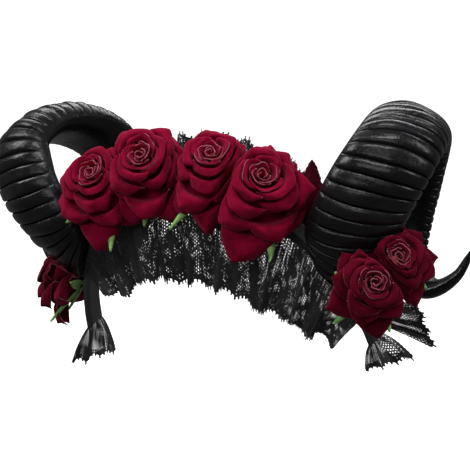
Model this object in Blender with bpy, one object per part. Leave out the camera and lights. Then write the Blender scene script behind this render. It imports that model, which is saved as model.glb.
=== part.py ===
"""Ram horns headband: a lace-wrapped hoop with two curled ribbed horns, velvet roses and lace frills.

Metres, +Z up, the front of the head towards -Y, the wearer's left towards +X. The origin is the
underside of the hoop's crown, where it rests on the head. The hoop leans forward over its ends.
"""

import math
from functools import partial

import bmesh
import bpy
from mathutils import Vector

MM = 0.001
GAP = 0.3 * MM

# Hoop: half an ellipse in a plane that leans forward at the crown
HOOP_HALF_WIDTH = 79 * MM
HOOP_RISE = 85 * MM
HOOP_FLARE = 5 * MM
HOOP_LEAN = math.radians(28)
HOOP_END = math.radians(90)
BAND_WIDTH = 14 * MM
BAND_THICK = 4 * MM
BAND_STATIONS = 36

# Horns: where they stand on the hoop, the box of their curl, and their section at the base
HORN_ANGLE = math.radians(61)
HORN_REACH = 60 * MM
HORN_DEPTH = 64 * MM
HORN_HEIGHT = 66 * MM
HORN_WIDTH = 43 * MM
HORN_THICK = 27 * MM
HORN_RIBS = 40
HORN_RIB_SHRINK = 0.6
HORN_RIBBED_SHARE = 0.82
HORN_GROOVE = 2.3 * MM
HORN_RIB_SLANT = 0.25
HORN_SIDES = 12
HORN_TIP_RINGS = 6

# Roses
ROSE_RADIUS = 22.5 * MM
ROSE_HEIGHT = 25 * MM
ROSE_SIDES = 18
SIDE_ROSE_SCALE = 0.86
CALYX_THICK = 1.0 * MM
SEPAL_LENGTH = 16 * MM
SEPALS = 5

# Lace
LACE_THICK = 1.2 * MM
FRILL_DROP = 40 * MM
FRILL_FOLD = 3.6 * MM
FRILL_FOLDS = 9
FRILL_SCALLOPS = 19
FRILL_COLUMNS = 60
FRILL_ROWS = 4
COLLAR_RISE = 23 * MM
COLLAR_FOLD = 2.6 * MM
COLLAR_FOLDS = 8
COLLAR_SCALLOPS = 11
COLLAR_COLUMNS = 44
COLLAR_ROWS = 3
SCALLOP_DEPTH = 3 * MM
FOLD_STRAY = 1.1
FOLD_STRAY_WAVES = 2.3
END_COLUMNS = 8
END_ROWS = 4
END_LEAN_LEFT = 0.1
END_LEAN_RIGHT = 0.6
END_WAVE = 1.8 * MM
END_LENGTH_LEFT = 21 * MM
END_LENGTH_RIGHT = 15 * MM
END_WIDTH = 24 * MM
TAB_LENGTH = 26 * MM
TAB_WIDTH = 26 * MM
TAB_ANGLE = math.radians(84)
TAB_ROOT_SHARE = 0.4
TAB_WAVE = 1.6 * MM
LEAF_ANGLE = math.radians(43)
LEAF_LENGTH = 31 * MM
LEAF_WIDTH = 17 * MM
LEAF_THICK = 1.2 * MM

UP = Vector((0, 0, 1))
SIDE = Vector((1, 0, 0))
FORWARD = Vector((0, -math.cos(HOOP_LEAN), -math.sin(HOOP_LEAN)))
CROWNWARD = Vector((0, -math.sin(HOOP_LEAN), math.cos(HOOP_LEAN)))

# Horn centreline and section, from base to tip, as shares of the horn's sizes:
# reach, depth and height of the centre from the base, width, thickness, and how far ribs turn outwards
HORN_TABLE = (
    ("reach", "depth", "height", "width", "thick", "turn"),
    (0.00, 0.00, 0.00, 0.78, 0.96, 0.60),
    (0.15, -0.13, 0.15, 0.95, 1.00, 0.58),
    (0.30, -0.24, 0.34, 1.02, 1.00, 0.56),
    (0.46, -0.27, 0.58, 1.02, 0.98, 0.54),
    (0.58, -0.17, 0.82, 1.00, 0.98, 0.50),
    (0.57, 0.10, 0.98, 0.97, 0.96, 0.42),
    (0.47, 0.41, 1.00, 0.94, 0.94, 0.34),
    (0.35, 0.68, 0.89, 0.88, 0.90, 0.27),
    (0.26, 0.83, 0.64, 0.78, 0.82, 0.20),
    (0.21, 0.86, 0.34, 0.66, 0.72, 0.12),
    (0.22, 0.80, 0.08, 0.55, 0.62, 0.05),
    (0.34, 0.69, -0.12, 0.45, 0.52, -0.05),
    (0.56, 0.60, -0.19, 0.33, 0.41, -0.15),
    (0.81, 0.55, -0.08, 0.19, 0.25, -0.30),
    (0.98, 0.52, 0.13, 0.03, 0.05, -0.40),
)
HORN_LOOP_CENTRE = (0.33, 0.42)
HORN_FOOT_SHARE = 0.12
HORN_GROOVE_START = 0.35
HORN_GROOVE_RISE = 1.2
HORN_INNER_SHARE = 0.62
HORN_ROOM = 0.5 * MM
HORN_FOOT_ANGLE = math.radians(12)

# Roses: angle along the hoop, offset forward over it and stand away from it as shares of the
# band's width, scale, facing as shares of outward, forward, sideways and up, turn in degrees, and
# how much longer the petals are at the front
ROSE_TABLE = (
    ("name", "angle", "offset", "stand", "scale", "outward", "forward", "side", "up", "twist", "growth"),
    ("1", -30.5, 0.20, 0.15, 0.98, 1.0, 0.62, 0.58, 0.05, 20, 0.28),
    ("2", -10.5, 0.15, 0.05, 1.04, 1.0, 0.72, 0.42, 0.0, 65, 0.28),
    ("3", 11.5, 0.10, 0.0, 1.00, 1.0, 0.35, 0.11, 0.0, 110, 0.28),
    ("4", 27.5, 0.15, 0.0, 1.08, 1.0, 0.50, 0.10, 0.0, 150, 0.28),
    ("5", -75.0, 0.10, 0.0, SIDE_ROSE_SCALE, 1.0, 0.20, 0.0, 0.55, 30, 0.15),
    ("6", 67.0, 0.05, 1.65, SIDE_ROSE_SCALE, 1.0, 1.28, 0.0, 0.70, 200, 0.10),
    ("7", 67.3, 1.11, 1.05, SIDE_ROSE_SCALE, 1.0, 1.22, 0.0, 0.53, 250, 0.10),
)

# Rose profile, from the middle of the face over the rims to the base:
# radius and height, petals in the ring, how far they overlap, how far their tips stand out, droop
PETAL_TABLE = (
    ("radius", "height", "petals", "overlap", "tip", "droop"),
    (0.07, 0.99, 2, 0.20, 0.0, 0.0),
    (0.12, 0.82, 2, 0.15, 0.0, 0.0),
    (0.22, 1.00, 3, 0.14, 0.0, 0.0),
    (0.27, 0.80, 3, 0.12, 0.0, 0.0),
    (0.39, 0.97, 3, 0.12, 0.02, 0.0),
    (0.43, 0.72, 3, 0.10, 0.0, 0.0),
    (0.58, 0.84, 4, 0.10, 0.06, 0.0),
    (0.60, 0.52, 4, 0.08, 0.0, 0.0),
    (0.83, 0.56, 5, 0.08, 0.14, 0.15),
    (0.78, 0.36, 5, 0.05, 0.0, 0.15),
    (1.00, 0.34, 5, 0.05, 0.22, 0.45),
    (0.97, 0.26, 5, 0.05, 0.22, 0.45),
    (0.52, 0.12, 5, 0.0, 0.0, 0.0),
    (0.22, 0.0, 5, 0.0, 0.0, 0.0),
)
OUTER_PETALS = 0.5
ROSE_HEART = 0.84
ROSE_WAIST = 0.4
FOOT_SHARE = 0.22
FOOT_SPREAD = 0.36

# Roses that touch and are parted by a plane
NEIGHBOURS = (("1", "2"), ("2", "3"), ("3", "4"), ("6", "7"))

# Roses before a horn's foot, parted from it by a plane across the hoop: the side they are on
# and how far before the foot's middle the plane lies, in foot angles
HORN_NEIGHBOURS = (("1", -1, 1.3), ("4", 1, 1.35))

# Roses that lean on a horn, which presses its own shape into them
HORN_LEANERS = (("1", "left"), ("5", "left"), ("6", "right"), ("7", "right"))

# Frill below the hoop: share of the way along it, drop, and the fall as shares of
# inward, forward and down
FRILL_START = math.radians(-66)
FRILL_STOP = math.radians(80)
FRILL_TABLE = (
    ("along", "drop", "inward", "forward", "down"),
    (0.00, 0.45, 0.90, 0.30, 0.20),
    (0.15, 0.85, 0.75, 0.20, 0.60),
    (0.45, 1.12, 0.50, 0.10, 0.90),
    (0.68, 1.08, 0.40, 0.20, 1.00),
    (0.85, 0.82, 0.50, 0.25, 0.80),
    (1.00, 0.45, 0.80, 0.25, 0.50),
)

# Collar behind the roses: share of the way along it, rise, and the rise's direction
COLLAR_START = math.radians(-42)
COLLAR_STOP = math.radians(37)
COLLAR_TABLE = (
    ("along", "rise", "outward", "back"),
    (0.00, 0.70, 0.80, 0.70),
    (0.30, 0.95, 0.85, 0.60),
    (0.60, 1.05, 0.85, 0.60),
    (1.00, 0.95, 0.85, 0.60),
)


def clear_scene():
    """Start from an empty scene."""
    for item in list(bpy.data.objects):
        bpy.data.objects.remove(item, do_unlink=True)


def material(name, colour, roughness, metallic=0.0):
    """One plain material for a kind of piece."""
    made = bpy.data.materials.new(name)
    made.use_nodes = True
    shader = made.node_tree.nodes["Principled BSDF"]
    shader.inputs["Base Color"].default_value = (*colour, 1)
    shader.inputs["Roughness"].default_value = roughness
    shader.inputs["Metallic"].default_value = metallic
    return made


def add_solid(name, points, faces, finish, smooth_angle=40):
    """A named object from points and faces, its normals turned outwards."""
    mesh = bpy.data.meshes.new(name)
    mesh.from_pydata([tuple(point) for point in points], [], faces)
    body = bmesh.new()
    body.from_mesh(mesh)
    bmesh.ops.recalc_face_normals(body, faces=body.faces)
    body.to_mesh(mesh)
    body.free()
    mesh.shade_smooth()
    mesh.set_sharp_from_angle(angle=math.radians(smooth_angle))
    mesh.materials.append(finish)
    made = bpy.data.objects.new(name, mesh)
    bpy.context.collection.objects.link(made)
    return made


def column(table, name):
    """The values of one named column of a table."""
    at = table[0].index(name)
    return [row[at] for row in table[1:]]


def rose_middle(row):
    """The middle of a rose's body."""
    base, facing, _, _ = rose_axes(row)
    return base + facing * (ROSE_HEIGHT * row["scale"] * ROSE_WAIST)


def rows_of(table):
    """The rows of a table as dictionaries by column name."""
    return [dict(zip(table[0], row)) for row in table[1:]]


def read_column(table, name, share):
    """A column read at a share of the way down the rows, on a smooth curve through them."""
    values = column(table, name)
    place = min(max(share, 0.0), 1.0) * (len(values) - 1)
    first = min(int(place), len(values) - 2)
    part = place - first
    before = values[max(first - 1, 0)]
    start, stop = values[first], values[first + 1]
    after = values[min(first + 2, len(values) - 1)]
    return start + 0.5 * part * (
        stop - before
        + part * (2 * before - 5 * start + 4 * stop - after + part * (3 * (start - stop) + after - before))
    )


def read_along(table, name, share):
    """A column read where the column named along has this share, easing from row to row."""
    along, values = column(table, "along"), column(table, name)
    for first in range(len(along) - 1):
        if share <= along[first + 1]:
            part = (share - along[first]) / (along[first + 1] - along[first])
            part = part * part * (3 - 2 * part)
            return values[first] + part * (values[first + 1] - values[first])
    return values[-1]


def outward_at(angle):
    """The direction away from the head at an angle along the hoop."""
    return (
        SIDE * (math.sin(angle) / HOOP_HALF_WIDTH) + CROWNWARD * (math.cos(angle) / HOOP_RISE)
    ).normalized()


def hoop_run(angle):
    """The direction along the hoop, towards its right end."""
    return (
        SIDE * (HOOP_HALF_WIDTH * math.cos(angle)) - CROWNWARD * (HOOP_RISE * math.sin(angle))
    ).normalized()


def hoop_point(angle, outward=0.0, forward=0.0):
    """A point by the hoop's centreline, moved away from the head and forward over it."""
    centre = CROWNWARD * (BAND_THICK / 2 - HOOP_RISE * (1 - math.cos(angle)))
    flare = math.copysign(HOOP_FLARE * (1 - math.cos(angle)) ** 2, angle)
    centre = centre + SIDE * (HOOP_HALF_WIDTH * math.sin(angle) + flare)
    return centre + outward_at(angle) * outward + FORWARD * forward


def tube_faces(rings, sides):
    """Quads between rings of points, with flat caps at both ends."""
    faces = []
    for ring in range(rings - 1):
        for side in range(sides):
            following = (side + 1) % sides
            faces.append(
                (
                    ring * sides + side,
                    ring * sides + following,
                    (ring + 1) * sides + following,
                    (ring + 1) * sides + side,
                )
            )
    faces.append(tuple(range(sides)))
    faces.append(tuple((rings - 1) * sides + side for side in range(sides)))
    return faces


def sheet_solid(name, front, back, finish):
    """A closed wall between two grids of points of the same size."""
    rows, columns = len(front), len(front[0])
    points = [point for row in front for point in row] + [point for row in back for point in row]
    behind = rows * columns

    def at(row, col):
        return row * columns + col

    faces = []
    for row in range(rows - 1):
        for col in range(columns - 1):
            corners = (at(row, col), at(row, col + 1), at(row + 1, col + 1), at(row + 1, col))
            faces.append(corners)
            faces.append(tuple(behind + corner for corner in reversed(corners)))
    rim = [at(0, col) for col in range(columns)]
    rim += [at(row, columns - 1) for row in range(1, rows)]
    rim += [at(rows - 1, col) for col in range(columns - 2, -1, -1)]
    rim += [at(row, 0) for row in range(rows - 2, 0, -1)]
    for place, corner in enumerate(rim):
        following = rim[(place + 1) % len(rim)]
        faces.append((corner, behind + corner, behind + following, following))
    return add_solid(name, points, faces, finish)


def thick_sheet(name, surface, rows, columns, thick, finish):
    """A wall of even thickness about a surface given by a function of two shares."""
    step = 1e-3
    front, back = [], []
    for row in range(rows + 1):
        down = row / rows
        front_row, back_row = [], []
        for col in range(columns + 1):
            along = col / columns
            place = surface(along, down)
            run = surface(min(along + step, 1), down) - surface(max(along - step, 0), down)
            fall = surface(along, min(down + step, 1)) - surface(along, max(down - step, 0))
            normal = run.cross(fall).normalized()
            front_row.append(place + normal * (thick / 2))
            back_row.append(place - normal * (thick / 2))
        front.append(front_row)
        back.append(back_row)
    return sheet_solid(name, front, back, finish)


def make_band(finish):
    """The hoop with its lace wrapping: a rounded bar bent over the head."""
    corner = 0.3
    half_width, half_thick = BAND_WIDTH / 2, BAND_THICK / 2
    section = (
        (1, -corner), (1, corner), (1 - corner, 1), (corner - 1, 1),
        (-1, corner), (-1, -corner), (corner - 1, -1), (1 - corner, -1),
    )
    points = []
    for station in range(BAND_STATIONS + 1):
        share = station / BAND_STATIONS
        angle = HOOP_END * (2 * share - 1)
        for across, over in section:
            points.append(hoop_point(angle, over * half_thick, across * half_width))
    add_solid("band", points, tube_faces(BAND_STATIONS + 1, len(section)), finish)


def horn_centre(share):
    """Centre of the right horn at a share of its table, measured from the hoop."""
    base = hoop_point(HORN_ANGLE, BAND_THICK / 2 + GAP)
    return base + Vector(
        (
            HORN_REACH * read_column(HORN_TABLE, "reach", share),
            HORN_DEPTH * read_column(HORN_TABLE, "depth", share),
            HORN_HEIGHT * read_column(HORN_TABLE, "height", share),
        )
    )


def horn_shares():
    """Shares of the horn's rings with how deep the groove is there, ribs first and then the smooth tip."""
    fine = 400
    lengths = [0.0]
    for step in range(fine):
        piece = horn_centre((step + 1) / fine) - horn_centre(step / fine)
        lengths.append(lengths[-1] + piece.length)

    def share_at(length_share):
        wanted = length_share * lengths[-1]
        for step in range(fine):
            if lengths[step + 1] >= wanted:
                part = (wanted - lengths[step]) / (lengths[step + 1] - lengths[step])
                return (step + part) / fine
        return 1.0

    ratio = HORN_RIB_SHRINK ** (1 / (HORN_RIBS - 1))
    pitches = [ratio**rib for rib in range(HORN_RIBS)]
    rings, place = [(0.0, 0.0)], 0.0
    for pitch in pitches:
        size = pitch / sum(pitches) * HORN_RIBBED_SHARE
        for part, groove in ((0.5, 0.0), (1.0, 1.0)):
            rings.append((place + size * part, groove))
        place += size
    for ring in range(HORN_TIP_RINGS):
        rest = (ring + 1) / HORN_TIP_RINGS
        rings.append((place + (1 - place) * rest, 0.0))
    return [(share_at(share), groove) for share, groove in rings]


def horn_ring(share, groove, mirror, spare=0.0):
    """One ring of points round the horn: ribbed outer side, flatter smooth inner side.

    The ring is larger all round by what is spare.
    """
    step = 2e-3
    centre = horn_centre(share)
    base = hoop_point(HORN_ANGLE, BAND_THICK / 2 + GAP)
    tangent = (horn_centre(min(share + step, 1)) - horn_centre(max(share - step, 0))).normalized()
    rise = min(share / HORN_FOOT_SHARE, 1.0)
    tangent = outward_at(HORN_ANGLE).lerp(tangent, rise).normalized()
    loop = base + Vector((0, HORN_DEPTH * HORN_LOOP_CENTRE[0], HORN_HEIGHT * HORN_LOOP_CENTRE[1]))
    radial = Vector((0, centre.y - loop.y, centre.z - loop.z)).normalized()
    outer = radial + SIDE * read_column(HORN_TABLE, "turn", share)
    outer = (outer - tangent * outer.dot(tangent)).normalized()
    across = tangent.cross(outer)
    half_width = HORN_WIDTH / 2 * read_column(HORN_TABLE, "width", share) + spare
    half_thick = HORN_THICK / 2 * read_column(HORN_TABLE, "thick", share) + spare
    ring = []
    for side in range(HORN_SIDES):
        turn = 2 * math.pi * side / HORN_SIDES
        lift = math.sin(turn)
        reach = min(1.0, max(0.0, HORN_GROOVE_START + HORN_GROOVE_RISE * lift))
        cut = groove * HORN_GROOVE * half_thick / (HORN_THICK / 2) * reach
        depth = half_thick * lift if lift > 0 else (half_thick * HORN_INNER_SHARE + spare) * lift
        point = centre + across * ((half_width - cut) * math.cos(turn))
        point += outer * (depth - cut * max(lift, 0))
        point += tangent * (HORN_RIB_SLANT * rise * half_width * math.cos(turn))
        ring.append(Vector((-point.x, point.y, point.z)) if mirror else point)
    return ring


def make_horn(name, mirror, finish, spare=0.0):
    """A ram horn: rings along the curl, a groove between each two ribs."""
    grooved = 0.0 if spare else 1.0
    rings = [horn_ring(share, groove * grooved, mirror, spare) for share, groove in horn_shares()]
    points = [point for ring in rings for point in ring]
    return add_solid(name, points, tube_faces(len(rings), HORN_SIDES), finish, 60)


def make_horn_cutter(name, mirror, finish):
    """The room that a horn takes out of a rose: the horn without its grooves, a little larger."""
    cutter = make_horn(name, mirror, finish, HORN_ROOM)
    cutter.hide_render = True
    cutter.display_type = "WIRE"
    return cutter


def press_in(body, cutter):
    """Cut a horn's room out of a rose or its calyx."""
    cut = body.modifiers.new("room_for_horn", "BOOLEAN")
    cut.operation = "DIFFERENCE"
    cut.solver = "EXACT"
    cut.object = cutter


def rose_axes(row):
    """Base point, facing direction, the direction of its lowest petals, and the third axis."""
    angle = math.radians(row["angle"])
    facing = (
        outward_at(angle) * row["outward"] + FORWARD * row["forward"] + SIDE * row["side"] + UP * row["up"]
    ).normalized()
    tilt = facing.angle(outward_at(angle))
    foot = ROSE_RADIUS * row["scale"] * FOOT_SPREAD * math.sin(tilt)
    stand = BAND_THICK / 2 + CALYX_THICK + 2 * GAP + foot + row["stand"] * BAND_WIDTH
    base = hoop_point(angle, stand, row["offset"] * BAND_WIDTH)
    down = (-UP + facing * facing.z).normalized()
    return base, facing, down, facing.cross(down)


def petal_wave(turn, petals, twist):
    """Place across a petal, from -1 to 1, and how near its middle it is, from 0 to 1."""
    part = (turn * petals / (2 * math.pi) + twist) % 1.0
    return 2 * part - 1, (1 - abs(2 * part - 1)) ** 2


def rose_ring(row, profile, number):
    """One ring of a rose's points, petals overlapping round it and longer at the front."""
    base, facing, down, third = rose_axes(row)
    twist = row["twist"] / 360 * profile["petals"] + 0.37 * (number // 2)
    ring = []
    for side in range(ROSE_SIDES):
        turn = 2 * math.pi * side / ROSE_SIDES
        place, middle = petal_wave(turn, profile["petals"], twist)
        front = (1 + math.cos(turn)) / 2
        outer = profile["radius"] if profile["radius"] > OUTER_PETALS else 0
        growth = 1 + row["growth"] * math.cos(turn) * outer
        radius = ROSE_RADIUS * row["scale"] * profile["radius"] * growth
        radius *= 1 + profile["overlap"] * place / 2 + profile["tip"] * middle
        height = profile["height"] - profile["droop"] * (front - 0.25)
        lift = facing * (ROSE_HEIGHT * row["scale"] * height)
        spoke = down * math.cos(turn) + third * math.sin(turn)
        ring.append(base + lift + spoke * radius)
    return ring


def make_rose(row, finish):
    """A rose: rims and hollows of its petal rings in one closed skin."""
    base, facing, _, _ = rose_axes(row)
    profiles = rows_of(PETAL_TABLE)
    rings = [rose_ring(row, profile, number) for number, profile in enumerate(profiles)]
    points = [base + facing * (ROSE_HEIGHT * row["scale"] * ROSE_HEART)]
    points += [point for ring in rings for point in ring]
    points.append(base)
    faces = []
    last = len(points) - 1
    for side in range(ROSE_SIDES):
        following = (side + 1) % ROSE_SIDES
        faces.append((0, 1 + side, 1 + following))
        for ring in range(len(rings) - 1):
            start = 1 + ring * ROSE_SIDES
            faces.append((start + side, start + ROSE_SIDES + side, start + ROSE_SIDES + following))
            faces.append((start + side, start + ROSE_SIDES + following, start + following))
        start = 1 + (len(rings) - 1) * ROSE_SIDES
        faces.append((start + side, last, start + following))
    return add_solid("rose_" + row["name"], points, faces, finish, 50)


def underside_height(turn, radius_share):
    """Height share of a rose's underside at a radius share, before its petal tips."""
    rings = rows_of(PETAL_TABLE)[-3:]
    front = (1 + math.cos(turn)) / 2
    places = [(row["radius"], row["height"] - row["droop"] * (front - 0.25)) for row in reversed(rings)]
    if radius_share <= places[0][0]:
        return places[0][1]
    for (near, low), (far, high) in zip(places, places[1:]):
        if radius_share <= far:
            return low + (high - low) * (radius_share - near) / (far - near)
    return places[-1][1]


def make_calyx(row, finish):
    """The green sepals under a rose: a five-pointed plate that follows its underside."""
    base, facing, down, third = rose_axes(row)
    size = ROSE_RADIUS * row["scale"]
    rise = ROSE_HEIGHT * row["scale"]
    sides = 2 * SEPALS
    rings = []
    for depth in (GAP, GAP + CALYX_THICK):
        for reach, sag in ((FOOT_SHARE, 0.0), (0.5, 0.5 * MM), (1.0, 1.6 * MM)):
            ring = []
            for side in range(sides):
                turn = 2 * math.pi * (side / sides) + math.radians(row["twist"])
                star = 1.0 if side % 2 == 0 or reach == FOOT_SHARE else 0.45
                radius = min(SEPAL_LENGTH / size, 0.95) * max(reach * star, FOOT_SHARE)
                radius = FOOT_SHARE * (1 + 0.02 * reach) if radius <= FOOT_SHARE else radius
                lift = rise * underside_height(turn, radius) - depth - sag
                spoke = down * math.cos(turn) + third * math.sin(turn)
                ring.append(base + facing * lift + spoke * (size * radius))
            rings.append(ring)
    rings = rings[:3] + rings[:2:-1]
    points = [point for ring in rings for point in ring]
    return add_solid("calyx_" + row["name"], points, tube_faces(len(rings), sides), finish)


def cut_away(body, point, normal):
    """Cut a solid by a plane, keep what lies behind the plane, and close the cut."""
    shape = bmesh.new()
    shape.from_mesh(body.data)
    parts = shape.verts[:] + shape.edges[:] + shape.faces[:]
    found = bmesh.ops.bisect_plane(
        shape, geom=parts, plane_co=point, plane_no=normal, clear_outer=True, dist=1e-7
    )
    edges = [item for item in found["geom_cut"] if isinstance(item, bmesh.types.BMEdge)]
    if edges:
        bmesh.ops.holes_fill(shape, edges=shape.edges[:], sides=0)
        bmesh.ops.triangulate(shape, faces=shape.faces[:])
        bmesh.ops.recalc_face_normals(shape, faces=shape.faces)
    shape.to_mesh(body.data)
    shape.free()


def part_solids(first, second, point, normal):
    """Keep two neighbours on their own sides of a plane, a gap apart."""
    cut_away(first, point - normal * (GAP / 2), normal)
    cut_away(second, point + normal * (GAP / 2), -normal)


def fold_phase(along, folds):
    """How far the folds have run at a share of the way along, unevenly spaced."""
    return 2 * math.pi * folds * along + FOLD_STRAY * math.sin(2 * math.pi * FOLD_STRAY_WAVES * along)


def frill_surface(along, down):
    """The frill below the hoop: its centre surface, gathered at the hoop and wavy below."""
    angle = FRILL_START + (FRILL_STOP - FRILL_START) * along
    root = hoop_point(angle, -BAND_THICK * 0.2, BAND_WIDTH / 2 + GAP + LACE_THICK / 2)
    inward = -outward_at(angle)
    fall = (
        inward * read_along(FRILL_TABLE, "inward", along)
        + FORWARD * read_along(FRILL_TABLE, "forward", along)
        - UP * read_along(FRILL_TABLE, "down", along)
    ).normalized()
    run = outward_at(angle).cross(FORWARD)
    face = fall.cross(run).normalized()
    wave = fold_phase(along, FRILL_FOLDS)
    scallop = 1 - SCALLOP_DEPTH / FRILL_DROP * abs(math.sin(math.pi * FRILL_SCALLOPS * along + 0.4))
    length = FRILL_DROP * read_along(FRILL_TABLE, "drop", along) * scallop
    fold = FRILL_FOLD * down**0.7 * (0.75 * math.sin(wave) + 0.25 * math.sin(0.43 * wave + 1))
    sway = FRILL_FOLD * 0.4 * down * math.cos(wave)
    return root + fall * (length * down) + face * fold + run * sway


def collar_surface(along, down):
    """The collar behind the roses: its centre surface, rising from the hoop's back edge."""
    angle = COLLAR_START + (COLLAR_STOP - COLLAR_START) * along
    root = hoop_point(angle, 0, -(BAND_WIDTH / 2 + GAP + LACE_THICK / 2))
    climb = (
        outward_at(angle) * read_along(COLLAR_TABLE, "outward", along)
        - FORWARD * read_along(COLLAR_TABLE, "back", along)
    ).normalized()
    run = outward_at(angle).cross(FORWARD)
    face = climb.cross(run).normalized()
    wave = fold_phase(along, COLLAR_FOLDS)
    scallop = 1 - SCALLOP_DEPTH / COLLAR_RISE * abs(math.sin(math.pi * COLLAR_SCALLOPS * along))
    length = COLLAR_RISE * read_along(COLLAR_TABLE, "rise", along) * scallop
    fold = COLLAR_FOLD * down**0.7 * math.sin(wave)
    return root + climb * (length * down) + face * fold


def end_surface(mirror, along, down):
    """A loose lace end below the hoop's end: its centre surface, flaring from the band."""
    side = -1 if mirror else 1
    angle = side * HOOP_END
    tip = hoop_point(angle) - CROWNWARD * (2 * GAP)
    spread = 0.45 + 0.55 * down**0.6
    across = (FORWARD * -0.75 + SIDE * (0.1 + 0.8 * down)).normalized()
    lean = END_LEAN_LEFT if mirror else END_LEAN_RIGHT
    length = END_LENGTH_LEFT if mirror else END_LENGTH_RIGHT
    fall = (-UP + SIDE * side * lean - FORWARD * 0.12).normalized()
    wave = math.sin(2 * math.pi * 2.0 * along + 0.6)
    scallop = 1 - 0.14 * abs(math.sin(2 * math.pi * 1.5 * along + 0.3))
    return (
        tip
        + across * (END_WIDTH * spread * (along - 0.5))
        + fall * (length * down * scallop)
        + across.cross(fall) * (END_WAVE * down * wave)
    )


def tab_surface(along, down):
    """The lace flap behind the right side roses: its centre surface, from the hoop's back edge."""
    angle = TAB_ANGLE + TAB_WIDTH / HOOP_HALF_WIDTH * TAB_ROOT_SHARE * (along - 0.5)
    flush = (BAND_THICK - LACE_THICK) / 2
    root = hoop_point(angle, flush, -(BAND_WIDTH / 2 + 2 * GAP))
    run = hoop_run(angle)
    fall = (SIDE * 0.60 - FORWARD * 0.55 - UP * 0.42).normalized()
    wave = math.sin(2 * math.pi * 1.6 * along)
    reach = TAB_LENGTH * down * (1 - 0.10 * abs(wave))
    spread = TAB_WIDTH * (1 - TAB_ROOT_SHARE) * down * (along - 0.5)
    return root + fall * reach + run * spread + fall.cross(run) * (TAB_WAVE * down * wave)


def make_leaf(finish):
    """The dark red leaf with a pinked edge beside rose 4."""
    base = hoop_point(LEAF_ANGLE, BAND_THICK / 2 + 1.5 * (GAP + LEAF_THICK), -BAND_WIDTH * 0.2)
    reach = (outward_at(LEAF_ANGLE) * 0.35 + UP * 0.8 - FORWARD * 0.1).normalized()
    across = (SIDE * 0.8 + FORWARD * 0.2 - UP * 0.2).normalized()
    across = (across - reach * across.dot(reach)).normalized()
    face = reach.cross(across)
    teeth = 12
    front, back = [], []
    for step in range(teeth + 1):
        share = step / teeth
        width = LEAF_WIDTH / 2 * math.sin(math.pi * (0.12 + 0.84 * share)) ** 0.8
        width *= 1.0 if step % 2 else 0.8
        curl = face * (3 * MM * math.sin(math.pi * share))
        spine = base + reach * (LEAF_LENGTH * share) + curl
        rows = [spine + across * (width * part) for part in (-1, 0, 1)]
        rows[1] = rows[1] - face * (1 * MM)
        front.append([row + face * (LEAF_THICK / 2) for row in rows])
        back.append([row - face * (LEAF_THICK / 2) for row in rows])
    return sheet_solid("leaf_red", front, back, finish)


def main():
    clear_scene()
    lace = material("black_lace", (0.012, 0.012, 0.015), 0.8)
    horn = material("black_horn", (0.015, 0.015, 0.017), 0.35)
    velvet = material("crimson_velvet", (0.30, 0.0, 0.03), 0.9)
    green = material("green_sepal", (0.30, 0.62, 0.16), 0.6)
    dark_red = material("dark_red_leaf", (0.10, 0.0, 0.015), 0.85)
    make_band(lace)
    make_horn("horn_right", False, horn)
    make_horn("horn_left", True, horn)
    cutters = {
        "left": make_horn_cutter("room_left", True, horn),
        "right": make_horn_cutter("room_right", False, horn),
    }
    roses, calyces = {}, {}
    for row in rows_of(ROSE_TABLE):
        roses[row["name"]] = make_rose(row, velvet)
        calyces[row["name"]] = make_calyx(row, green)
    make_leaf(dark_red)
    thick_sheet("ruffle_front", frill_surface, FRILL_ROWS, FRILL_COLUMNS, LACE_THICK, lace)
    thick_sheet("ruffle_back", collar_surface, COLLAR_ROWS, COLLAR_COLUMNS, LACE_THICK, lace)
    for name, mirror in (("lace_end_right", False), ("lace_end_left", True)):
        thick_sheet(name, partial(end_surface, mirror), END_ROWS, END_COLUMNS, LACE_THICK, lace)
    thick_sheet("lace_tab_right", tab_surface, END_ROWS, END_COLUMNS, LACE_THICK, lace)
    rows = {row["name"]: row for row in rows_of(ROSE_TABLE)}
    for first, second in NEIGHBOURS:
        near, far = rose_middle(rows[first]), rose_middle(rows[second])
        middle, normal = (near + far) / 2, (far - near).normalized()
        part_solids(roses[first], roses[second], middle, normal)
        part_solids(calyces[first], calyces[second], middle, normal)
    for name, side, before in HORN_NEIGHBOURS:
        angle = side * (HORN_ANGLE - before * HORN_FOOT_ANGLE)
        normal = hoop_run(angle) * side
        for body in (roses[name], calyces[name]):
            cut_away(body, hoop_point(angle) - normal * GAP, normal)
    for name, side in HORN_LEANERS:
        press_in(roses[name], cutters[side])
        press_in(calyces[name], cutters[side])


main()
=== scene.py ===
"""Looks of the ram horns headband: ribbed black horns, velvet roses, and black lace made of thread."""

import math
import random
from functools import partial

import bpy
import numpy as np
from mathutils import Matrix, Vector


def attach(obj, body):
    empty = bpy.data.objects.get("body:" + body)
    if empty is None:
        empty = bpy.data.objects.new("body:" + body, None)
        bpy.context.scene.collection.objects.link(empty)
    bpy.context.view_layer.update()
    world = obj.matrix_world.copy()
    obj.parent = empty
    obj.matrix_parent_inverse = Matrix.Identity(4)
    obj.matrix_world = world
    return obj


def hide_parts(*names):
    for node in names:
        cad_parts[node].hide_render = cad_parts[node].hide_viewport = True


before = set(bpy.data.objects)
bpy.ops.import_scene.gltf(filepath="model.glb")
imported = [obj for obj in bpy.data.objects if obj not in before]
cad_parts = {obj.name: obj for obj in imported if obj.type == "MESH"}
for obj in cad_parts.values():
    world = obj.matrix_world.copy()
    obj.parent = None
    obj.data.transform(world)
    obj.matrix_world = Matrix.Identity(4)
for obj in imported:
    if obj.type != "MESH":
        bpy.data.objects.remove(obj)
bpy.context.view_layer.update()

MM = 0.001
GAP = 0.3 * MM

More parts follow.
